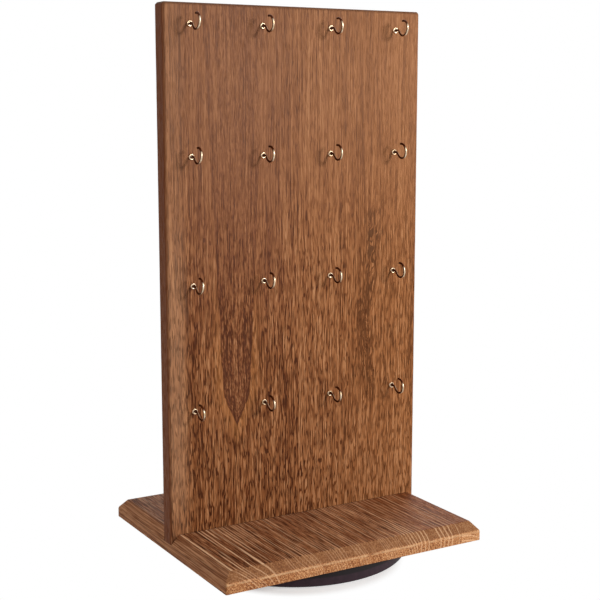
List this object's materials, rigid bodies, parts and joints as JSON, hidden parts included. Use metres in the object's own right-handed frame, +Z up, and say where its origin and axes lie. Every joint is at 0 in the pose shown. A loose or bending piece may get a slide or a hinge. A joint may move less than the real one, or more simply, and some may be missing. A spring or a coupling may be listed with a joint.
{
  "type": "jewelry stand",
  "caption": "Upright wooden board with rows of brass cup hooks on both faces, set in a chamfered base that turns on a low round turntable.",
  "frame": {"origin": "on the surface the stand rests on, under the turntable's centre", "axes": "+Z up; +X along the upright board's width, to the right seen from the front; -Y towards the front; the joint is at rest with the board square to the frame"},
  "size_m": [0.241, 0.213, 0.4598],
  "materials": {
    "panel_wood": "reddish-brown stain under a thin satin coat, grain upright",
    "base_wood": "reddish-brown stain under a thin satin coat, grain front to back",
    "hook_brass": "aged brass plating, slightly dulled",
    "dish_plastic": "moulded dark plastic, fine texture",
    "plate_plastic": "moulded black plastic, fine texture",
    "ring_plastic": "natural low-friction plastic",
    "foot_rubber": "soft matte rubber",
    "steel": "zinc-plated steel",
    "screw_steel": "zinc-plated steel, slightly yellow"
  },
  "bodies": {
    "turntable_base": {"lower_dish": "dish_plastic", "glide_ring": "ring_plastic", "foot_1": "foot_rubber", "foot_2": "foot_rubber", "foot_3": "foot_rubber", "foot_4": "foot_rubber"},
    "display": {"upper_plate": "plate_plastic", "pivot_bolt": "steel", "pivot_washer": "steel", "pivot_nut": "steel", "plate_screws": "screw_steel", "base_board": "base_wood", "panel": "panel_wood", "panel_screws": "screw_steel", "front_hook_r1_c1": "hook_brass", "front_hook_r1_c2": "hook_brass", "front_hook_r1_c3": "hook_brass", "front_hook_r1_c4": "hook_brass", "front_hook_r2_c1": "hook_brass", "front_hook_r2_c2": "hook_brass", "front_hook_r2_c3": "hook_brass", "front_hook_r2_c4": "hook_brass", "front_hook_r3_c1": "hook_brass", "front_hook_r3_c2": "hook_brass", "front_hook_r3_c3": "hook_brass", "front_hook_r3_c4": "hook_brass", "front_hook_r4_c1": "hook_brass", "front_hook_r4_c2": "hook_brass", "front_hook_r4_c3": "hook_brass", "front_hook_r4_c4": "hook_brass", "back_hook_r1_c1": "hook_brass", "back_hook_r1_c2": "hook_brass", "back_hook_r1_c3": "hook_brass", "back_hook_r1_c4": "hook_brass", "back_hook_r2_c1": "hook_brass", "back_hook_r2_c2": "hook_brass", "back_hook_r2_c3": "hook_brass", "back_hook_r2_c4": "hook_brass", "back_hook_r3_c1": "hook_brass", "back_hook_r3_c2": "hook_brass", "back_hook_r3_c3": "hook_brass", "back_hook_r3_c4": "hook_brass", "back_hook_r4_c1": "hook_brass", "back_hook_r4_c2": "hook_brass", "back_hook_r4_c3": "hook_brass", "back_hook_r4_c4": "hook_brass"}
  },
  "joints": [
    {"name": "turntable_spin", "type": "hinge", "parent": "turntable_base", "child": "display", "pos_m": [0, 0, 0.0172], "axis": [0, 0, 1], "continuous": true}
  ]
}
